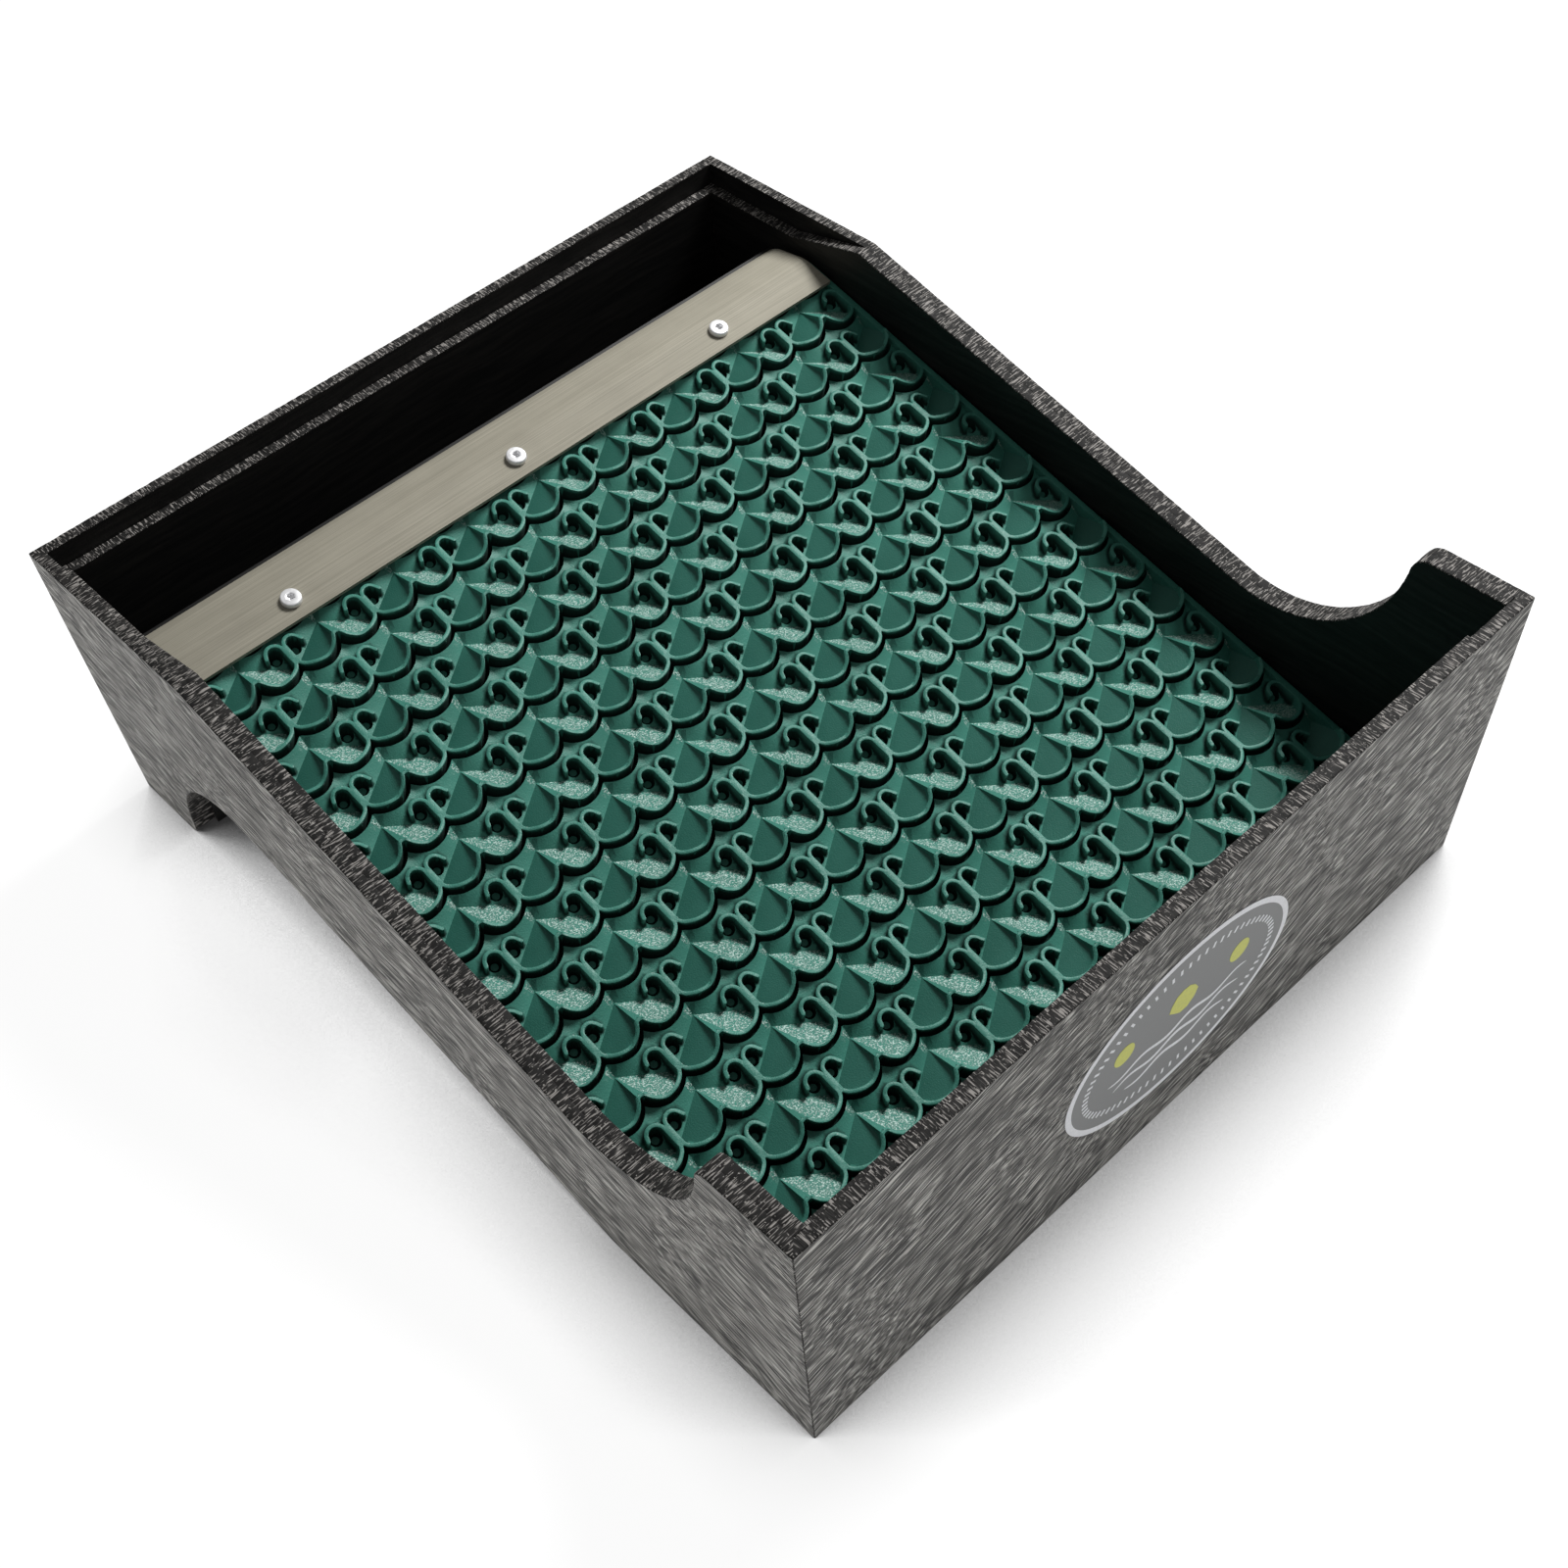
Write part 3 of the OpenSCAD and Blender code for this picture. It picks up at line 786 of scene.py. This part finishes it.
def cell_lines():
    """The lines in one cell that the mesh must follow."""
    lines = []
    for d in (RIDGE_FLAT, RIDGE_EDGE, RIDGE_FOOT):
        side = [(STEM_EDGE + d, v) for v in np.linspace(STEM_LOW, STEM_HIGH, 7)]
        lines.append(np.array(side))
        cap_at, before = hook_line[-1], hook_line[-2]
        turn = math.atan2(*(cap_at - before)[::-1])
        cap = [cap_at + d * np.array((math.cos(turn + a), math.sin(turn + a)))
               for a in np.radians((90, 45, 0, -45, -90))]
        lines.append(np.vstack([offset_line(hook_line, d)[:-1], cap, offset_line(hook_line, -d)[-2::-1]]))
        lines.append(offset_line(bow_line, d))
        lines.append(offset_line(bow_line, -d))
    lines.append(bow_line)
    lines.append(hook_line)
    for d in GROOVE:
        lines.append(offset_line(bow_line[:-1], -d))
    lines.append(offset_line(bow_line[:-1], -(GROOVE[1] + 0.35)))
    for r in WELL_R:
        lines.append(np.array(arc(WELL[0], WELL[1], r, 0, 360, 16)))
    for skirt in (0, CREST_SKIRT):
        lines.append(np.array([
            (HALF - skirt - CREST_W * t, APEX[1] + (CUSP_V - APEX[1]) * t) for t in np.linspace(0, 1, 8)
        ]))
    lines.append(np.linspace(APEX, HINGE_END, 9))
    for r in BOSS_R:
        lines.append(np.array(arc(WELL[0], WELL[1], r, 0, 360, 12)))
    return lines


def kept_stretches(line, length):
    """The stretches of a line that lie in or near a strip of that length."""
    piece = []
    for x, s in line:
        if -3 < s < length + 3:
            piece.append((x, s))
        elif piece:
            yield piece
            piece = []
    if len(piece) > 1:
        yield piece


def strip_lines(length):
    """The outline and the cells' lines for a strip half a pitch wide."""
    lines = [[(x, s) for s in np.linspace(-1.0, length + 1.0, 48)] for x in (0.0, HALF)]
    lines += [[(x, s) for x in np.linspace(0, HALF, 17)] for s in (0.0, length)]
    for j in range(-2, 4):
        for line in cell_lines():
            x = line[:, 0] if j % 2 == 0 else HALF - line[:, 0]
            s = line[:, 1] + FIRST_S + j * ROW
            lines += kept_stretches(zip(x, s), length)
    return lines


def strip_mesh():
    """Points and triangles for a strip half a pitch wide and two rows long."""
    length = 2 * ROW
    points, edges = [], []
    for line in strip_lines(length):
        start = len(points)
        points.extend(line)
        edges.extend((start + i, start + i + 1) for i in range(len(line) - 1))
    taken = np.array(points)
    for i, s in enumerate(np.arange(0.8, length, FILL_V)):
        for x in np.arange(0.9 + 0.8 * (i % 2), HALF - 0.5, FILL_U):
            if np.hypot(taken[:, 0] - x, taken[:, 1] - s).min() > FILL_GAP:
                points.append((x, s))
    made = delaunay_2d_cdt([Vector(p) for p in points], edges, [], 0, 1e-3)
    co = np.array([tuple(p) for p in made[0]])
    tri = np.array(made[2])
    mid = co[tri].mean(1)
    inside = (mid[:, 0] > 0) & (mid[:, 0] < HALF) & (mid[:, 1] > 0) & (mid[:, 1] < length)
    a, b, c = co[tri[:, 0]], co[tri[:, 1]], co[tri[:, 2]]
    area = (b[:, 0] - a[:, 0]) * (c[:, 1] - a[:, 1]) - (b[:, 1] - a[:, 1]) * (c[:, 0] - a[:, 0])
    used, tri = np.unique(tri[inside & (np.abs(area) > 1e-7)], return_inverse=True)
    co = co[used]
    for side in (0, HALF):
        co[np.abs(co[:, 0] - side) < 2e-3, 0] = side
    just_inside = np.clip(co[:, 0], 1e-4, HALF - 1e-4)
    return np.c_[co, mat_height(just_inside, co[:, 1])], tri.reshape(-1, 3)


def painted_shade_share(x, s, height):
    """How much painted shade the mat's colour gets: 1 deep in a well or groove, less at a stem's or hook's
    foot, and 0 on the rest.
    """
    j = np.floor((s - FIRST_S - 5.5) / ROW)
    stem = STEM_X + np.where(j % 2 == 0, 0.0, HALF)
    u = np.abs((x - stem + HALF) % PITCH - HALF)
    v = s - FIRST_S - j * ROW
    share = np.clip((GLOOM_TOP - height) / 1.0, 0, 1)
    near_ridge = np.minimum(stem_distance(u, v), distance(u, v, hook_line)) < RIDGE_FOOT + 0.05
    share = np.maximum(share, np.where(near_ridge & (height < -1.5), FOOT_GLOOM, 0.0))
    on_boss = np.hypot(u - WELL[0], v - WELL[1]) < sum(BOSS_R) / 2
    return np.where(on_boss & (height < BOSS_H + 0.01), BOSS_GLOOM, share)


def repeated_strips(left, right, front, back):
    """Points and triangles of the moulded face, from strips that are mirrored and repeated."""
    strip, tri = strip_mesh()
    points, tris, count = [], [], 0
    length = 2 * ROW
    for k in range(math.floor((left - STEM_X) / HALF), math.ceil((right - STEM_X) / HALF)):
        for m in range(math.floor(front / length) - 1, math.ceil(back / length) + 1):
            p, t = strip.copy(), tri
            if k % 2:
                p[:, 0] = HALF - p[:, 0]
                t = tri[:, ::-1]
            p[:, 0] += STEM_X + k * HALF
            p[:, 1] += length * m
            if p[:, 1].max() >= front and p[:, 1].min() <= back:
                points.append(p)
                tris.append(t + count)
                count += len(p)
    return np.vstack(points), np.vstack(tris)


def joined(points, tris, step=0.004):
    """Joins points that repeat, and drops the triangles that this leaves empty."""
    key = np.round(points[:, :2] / step).astype(np.int64)
    _, keep, back_to = np.unique(key, axis=0, return_index=True, return_inverse=True)
    tris = back_to.reshape(-1)[tris]
    whole = (tris[:, 0] != tris[:, 1]) & (tris[:, 1] != tris[:, 2]) & (tris[:, 0] != tris[:, 2])
    return points[keep], tris[whole]


def moulded_slab(left, right, front, back):
    """The mat as a closed mesh in the slope's frame, in millimetres."""
    points, tris = repeated_strips(left, right, front, back)
    under_strip = points[:, 1] > STRIP_FRONT - 0.3
    points[under_strip, 2] = np.minimum(points[under_strip, 2], -0.15)
    points, tris = joined(points, tris)
    mesh = bpy.data.meshes.new("mat draft")
    mesh.from_pydata(points.tolist(), [], tris.tolist())
    bm = bmesh.new()
    bm.from_mesh(mesh)
    bpy.data.meshes.remove(mesh)
    for point, normal in (((left, 0, 0), (-1, 0, 0)), ((right, 0, 0), (1, 0, 0)),
                          ((0, front, 0), (0, -1, 0)), ((0, back, 0), (0, 1, 0))):
        geom = bm.verts[:] + bm.edges[:] + bm.faces[:]
        bmesh.ops.bisect_plane(bm, geom=geom, plane_co=point, plane_no=normal, clear_outer=True, dist=1e-4)
    # Each point's share of painted shade, which darkens the rubber's colour.
    painted_shade = bm.verts.layers.float.new(PAINTED_SHADE)
    co = np.array([vert.co for vert in bm.verts])
    for vert, share in zip(bm.verts, painted_shade_share(*co.T)):
        vert[painted_shade] = share
    grown = bmesh.ops.extrude_edge_only(bm, edges=[e for e in bm.edges if e.is_boundary])
    for vert in grown["geom"]:
        if isinstance(vert, bmesh.types.BMVert):
            vert.co.z = -MAT_T
    bmesh.ops.contextual_create(bm, geom=[e for e in bm.edges if e.is_boundary])
    bmesh.ops.recalc_face_normals(bm, faces=bm.faces)
    return bm


def riffle_mat():
    """The moulded mat, and the plain border along its right side."""
    lo, hi = box_mm("riffle_mat")
    front, back = lo[1] / math.cos(SLOPE), MAT_BACK
    left, right = lo[0], hi[0] - BORDER_W
    place = Matrix.Translation((0, 0, MAT_Z * MM)) @ Matrix.Rotation(SLOPE, 4, "X") @ Matrix.Scale(MM, 4)
    slab = moulded_slab(left, right, front, back)
    slab.transform(place)
    finish_piece(smooth(new_object("riffle_mat", slab), 32), "riffle_mat", "green_rubber", rubber)
    corner = arc(hi[0] - BORDER_R, -BORDER_R, BORDER_R, 0, 90, 5)
    outline = [(right, -MAT_T), (hi[0], -MAT_T)] + corner + [(right, 0.0)]
    border = extrude_rounded(outline, front, back, "y", (0.2, 0.2), 2)
    border.transform(place @ Matrix.Scale(1 / MM, 4))
    obj = smooth(new_object("riffle_mat_border", border))
    finish_piece(obj, "riffle_mat", "green_rubber", rubber, rubber, rubber)


riffle_mat()


# ---------------------------------------------------------------- the clamp strip and its screws

STRIP_FLAT = 14.0       # length of the strip's flat part
STRIP_DIP = 16.0        # and of the part that dips behind it
DIP_TURN = math.radians(22.75)
LIP_TURN = math.radians(45.0)
BEND = 3.0              # how far before a corner its bend begins
SCREW_X = -4.0          # the middle screw
SCREW_PITCH = 100.0
SCREW_S = STRIP_FRONT + 8.0
SHANK_R = 2.0
SCREW_LENGTH = 20.0
BORE_R = 2.3
WASHER_R, WASHER_T = 4.6, 0.8
NUT_R, NUT_H = 3.5, 3.2     # NUT_R is half the width across the flats


def strip_line():
    """The strip's underside in the slope's frame, with round bends."""
    b1 = np.array((STRIP_FRONT + STRIP_FLAT, 0.0))
    b2 = b1 + STRIP_DIP * np.array((math.cos(DIP_TURN), -math.sin(DIP_TURN)))
    foot = np.array((b2[0] + (b2[1] + MAT_T) / math.tan(LIP_TURN), -MAT_T))
    corners = [np.array((STRIP_FRONT, 0.0)), b1, b2, foot]
    line = [corners[0]]
    for before, at, after in zip(corners, corners[1:], corners[2:]):
        soft = min(BEND, np.linalg.norm(after - at) * 0.45)
        p = at + (before - at) / np.linalg.norm(before - at) * soft
        q = at + (after - at) / np.linalg.norm(after - at) * soft
        for t in np.linspace(0, 1, 7):
            line.append((1 - t) ** 2 * p + 2 * t * (1 - t) * at + t * t * q)
    line.append(corners[-1])
    return np.array(line)


def clamp_strip():
    """The bent strip across the mat's back end."""
    lo, hi = box_mm("clamp_strip")
    under = strip_line()
    along = np.gradient(under, axis=0)
    along /= np.linalg.norm(along, axis=1)[:, None]
    over = under + STRIP_T * np.c_[-along[:, 1], along[:, 0]]
    outline = [slope_point(s, n) for s, n in np.vstack([under, over[::-1]])]
    bm = extrude_rounded(outline, lo[0], hi[0], "x", (0.3, 0.3), 3)
    obj = smooth(new_object("clamp_strip", bm), 40)
    finish_piece(obj, "clamp_strip", "strip_metal", strip_metal, strip_metal, strip_metal)


def screw_profile():
    """A screw's (radius, height) points, from its end to the edge of its socket, and then the socket's."""
    top = STRIP_T
    outside = [(1.6, top - SCREW_LENGTH), (SHANK_R, top - 19.6), (SHANK_R, top + 0.05)]
    outside += [(3.55, top), (3.8, top + 0.25)]
    for a in np.linspace(0, math.pi / 2, 7):
        outside.append((3.1 + 0.7 * math.cos(a), top + 1.2 + 0.8 * math.sin(a)))
    outside.append((2.0, top + 2.15))
    socket = [(1.45, top + 2.12), (1.30, top + 2.0), (1.30, top + 0.8), (0.5, top + 0.5)]
    return outside, socket


def ring_profile(outer, low, high, soft):
    """The (radius, height) points of a washer or nut with softened outer edges."""
    return [(BORE_R, low), (outer - soft, low), (outer, low + soft), (outer, high - soft),
            (outer - soft, high), (BORE_R, high)]


def fasteners(name, profile, hex_rows, bored):
    """Three equal screws, washers or nuts, each turned a little further than the last."""
    up = Vector((0, -math.sin(SLOPE), math.cos(SLOPE)))
    along = Vector((0, math.cos(SLOPE), math.sin(SLOPE)))
    right = Vector((1, 0, 0))
    bm = bmesh.new()
    for i in (-1, 0, 1):
        y, z = slope_point(SCREW_S, 0)
        centre = Vector((SCREW_X + i * SCREW_PITCH, y, z))
        turn = 0.4 + 0.9 * i
        u = right * math.cos(turn) + along * math.sin(turn)
        v = along * math.cos(turn) - right * math.sin(turn)
        turned_body(bm, profile, centre, (u, v, up), hex_rows, bored)
    finish_piece(smooth(new_object(name, bm), 40), name, "fastener_steel", steel)


clamp_strip()
screw, socket = screw_profile()
fasteners("clamp_screws", screw + socket, range(len(screw), len(screw + socket)), False)
washer_low = -MAT_T - SHEET - WASHER_T
fasteners("clamp_washers", ring_profile(WASHER_R, washer_low, washer_low + WASHER_T, 0.15), (), True)
nut_low = washer_low - NUT_H
fasteners("clamp_nuts", ring_profile(NUT_R, nut_low, nut_low + NUT_H, 0.35), (2, 3), True)


# ---------------------------------------------------------------- the oval label

LABEL_BORDER = 2.6
TICKS = 72
TICK_INSET = 8.5
TICK_HALF_W, TICK_HALF_L = 0.55, 1.3
RIPPLES = ((-4.0, 33.0), (-9.5, 30.0), (-15.0, 24.0))       # height, half length
GRAINS = ((-27, 8, 4.6, 40, 0.0), (27, 8, 4.6, 40, 0.0), (0, 9, 7.0, 11, 0.28))
# A grain is its place across and up, its radius, its corners and how uneven it is.


def label_frame():
    """Middle of the label in (x, z), its half width and half height, and the wall that it lies on."""
    lo, hi = box_mm("oval_label")
    middle = ((lo[0] + hi[0]) / 2, (lo[2] + hi[2]) / 2)
    return middle, (hi[0] - lo[0]) / 2, (hi[2] - lo[2]) / 2, hi[1]


def label_layer(name, shapes, thick, material):
    """Flat shapes on the wall, given round the label's middle."""
    (cx, cz), _, _, wall = label_frame()
    bm = bmesh.new()
    for shape in shapes:
        placed = [(cx + x, cz + z) for x, z in shape]
        part = extrude_rounded(placed, wall - thick, wall, "y", (0.04, 0.04), 1)
        mesh = bpy.data.meshes.new("part")
        part.to_mesh(mesh)
        part.free()
        bm.from_mesh(mesh)
        bpy.data.meshes.remove(mesh)
    obj = smooth(new_object(name, bm))
    finish_piece(obj, "oval_label", "label_vinyl", material, material, material)


def ellipse(a, b, n=120):
    return [(a * math.cos(t), b * math.sin(t)) for t in np.linspace(0, 2 * math.pi, n, endpoint=False)]


def tick(t, a, b):
    """One tick of the ring inside the label's edge, at angle t."""
    turn = np.array((math.cos(t), math.sin(t)))
    middle = turn * (a - TICK_INSET, b - TICK_INSET)
    side = np.array((-turn[1], turn[0]))
    out = turn / np.linalg.norm(turn)
    w, h = TICK_HALF_W, TICK_HALF_L
    return [middle + side * u + out * v for u, v in ((-w, -h), (w, -h), (w, h), (-w, h))]


def ripple(row, z, reach):
    """A wavy band that thins toward both ends."""
    xs = np.linspace(-reach, reach, 49)
    half = 0.75 * np.sqrt(np.maximum(0, 1 - (xs / reach) ** 2)) + 0.12
    zs = z + 1.3 * np.sin(xs / 3.6 + 1.7 * row)
    return list(zip(xs, zs - half)) + list(zip(xs[::-1], (zs + half)[::-1]))


def grain(x, z, r, corners, uneven, bumps):
    """A round or uneven grain. bumps gives the random numbers."""
    points = []
    for t in np.linspace(0, 2 * math.pi, corners, endpoint=False):
        across = r * (1 - uneven * bumps.random()) * math.cos(t)
        points.append((x + across, z + r * (1 - uneven * bumps.random()) * math.sin(t)))
    return points


def label():
    """Silver rim, grey field, a ring of ticks, three ripples and three grains."""
    _, a, b, _ = label_frame()
    ticks = [tick(t, a, b) for t in np.linspace(0, 2 * math.pi, TICKS, endpoint=False)]
    ripples = [ripple(row, z, reach) for row, (z, reach) in enumerate(RIPPLES)]
    bumps = np.random.default_rng(5)
    grains = [grain(*values, bumps) for values in GRAINS]
    label_layer("label_rim", [ellipse(a, b)], 0.25, label_silver)
    label_layer("label_field", [ellipse(a - LABEL_BORDER, b - LABEL_BORDER)], 0.30, label_grey)
    label_layer("label_beads", ticks, 0.34, label_silver)
    label_layer("label_ripples", ripples, 0.35, label_silver)
    label_layer("label_grains", grains, 0.38, label_green)


label()


# ---------------------------------------------------------------- floor, light and camera

FLOOR_SIZE = 14.0
FLOOR_GLOW = 0.93       # the open floor's glow, which the lights bring up to white
CONTACT_REACH = 0.038   # close to the box the glow sinks to CONTACT_GLOW,
CONTACT_OPEN = (0.5, 0.96)
CONTACT_GLOW = 0.62
SHELTER_REACH = 0.15    # and under it to SHELTER_SHARE of what is left
SHELTER_OPEN = (0.44, 0.56)
SHELTER_SHARE = 0.03
WORLD_GLOW = 0.22
KEY_PLACE, KEY_TARGET = (0.95, 0.12, 1.15), (0, 0, 0.05)
KEY_SIZE, KEY_WATTS = 0.5, 31.0


def openness(n, reach):
    """How open the sky is over the floor, seen out to reach."""
    node = n.add("ShaderNodeAmbientOcclusion", samples=8)
    node.inputs["Distance"].default_value = reach
    return node.outputs["AO"]


def floor_material():
    """Pale glowing floor with a painted contact shadow: its glow darkens next to the box and under it."""
    n = Nodes("floor")
    glow = n.ramp(openness(n, CONTACT_REACH), *CONTACT_OPEN, CONTACT_GLOW, FLOOR_GLOW)
    shelter = n.ramp(openness(n, SHELTER_REACH), *SHELTER_OPEN, SHELTER_SHARE, 1.0)
    n.set(Base_Color=(0.16, 0.16, 0.16), Roughness=0.9, Specular_IOR_Level=0.0)
    n.set(Emission_Color=(1.0, 1.0, 1.0), Emission_Strength=n.math("MULTIPLY", glow, shelter))
    return n.material


def studio_floor():
    bm = bmesh.new()
    bmesh.ops.create_grid(bm, x_segments=1, y_segments=1, size=FLOOR_SIZE / 2)
    floor = new_object("floor", bm)
    floor.data.materials.append(floor_material())


def studio_light():
    """A pale surrounding and one soft light, high on the right."""
    world = bpy.data.worlds.new("studio")
    scene.world = world
    world.use_nodes = True
    sky = world.node_tree.nodes["Background"]
    sky.inputs["Color"].default_value = (1.0, 1.0, 1.0, 1.0)
    sky.inputs["Strength"].default_value = WORLD_GLOW
    data = bpy.data.lights.new("key", "AREA")
    data.shape = "DISK"
    data.size = KEY_SIZE
    data.energy = KEY_WATTS
    key = bpy.data.objects.new("key", data)
    scene.collection.objects.link(key)
    key.location = KEY_PLACE
    key.rotation_mode = "QUATERNION"
    key.rotation_quaternion = (Vector(KEY_TARGET) - Vector(KEY_PLACE)).to_track_quat("-Z", "Y")


scene = bpy.context.scene
scene.view_settings.view_transform = "Standard"
studio_floor()
studio_light()

CAMERA_PLACE = Vector((-0.2845, -0.3536, 0.5307))
CAMERA_TURN, CAMERA_RISE, CAMERA_ROLL = (math.radians(a) for a in (-37.2506, 54.6192, -7.1822))
FOCAL = 1.16083     # focal length over the width of the picture
SENSOR = 36.0
SHIFT = (0.01875, 0.125)

back = Vector((
    math.sin(CAMERA_TURN) * math.cos(CAMERA_RISE),
    -math.cos(CAMERA_TURN) * math.cos(CAMERA_RISE),
    math.sin(CAMERA_RISE),
))
level = Vector((0, 0, 1)).cross(back).normalized()
upright = back.cross(level)
right = level * math.cos(CAMERA_ROLL) + upright * math.sin(CAMERA_ROLL)
up = upright * math.cos(CAMERA_ROLL) - level * math.sin(CAMERA_ROLL)
camera_data = bpy.data.cameras.new("camera")
camera_data.sensor_width = SENSOR
camera_data.lens = FOCAL * SENSOR
camera_data.shift_x, camera_data.shift_y = SHIFT
camera_data.clip_start = 0.01
camera = bpy.data.objects.new("camera", camera_data)
scene.collection.objects.link(camera)
turn = Matrix((right, up, back)).transposed().to_4x4()
camera.matrix_world = Matrix.Translation(CAMERA_PLACE) @ turn
scene.camera = camera
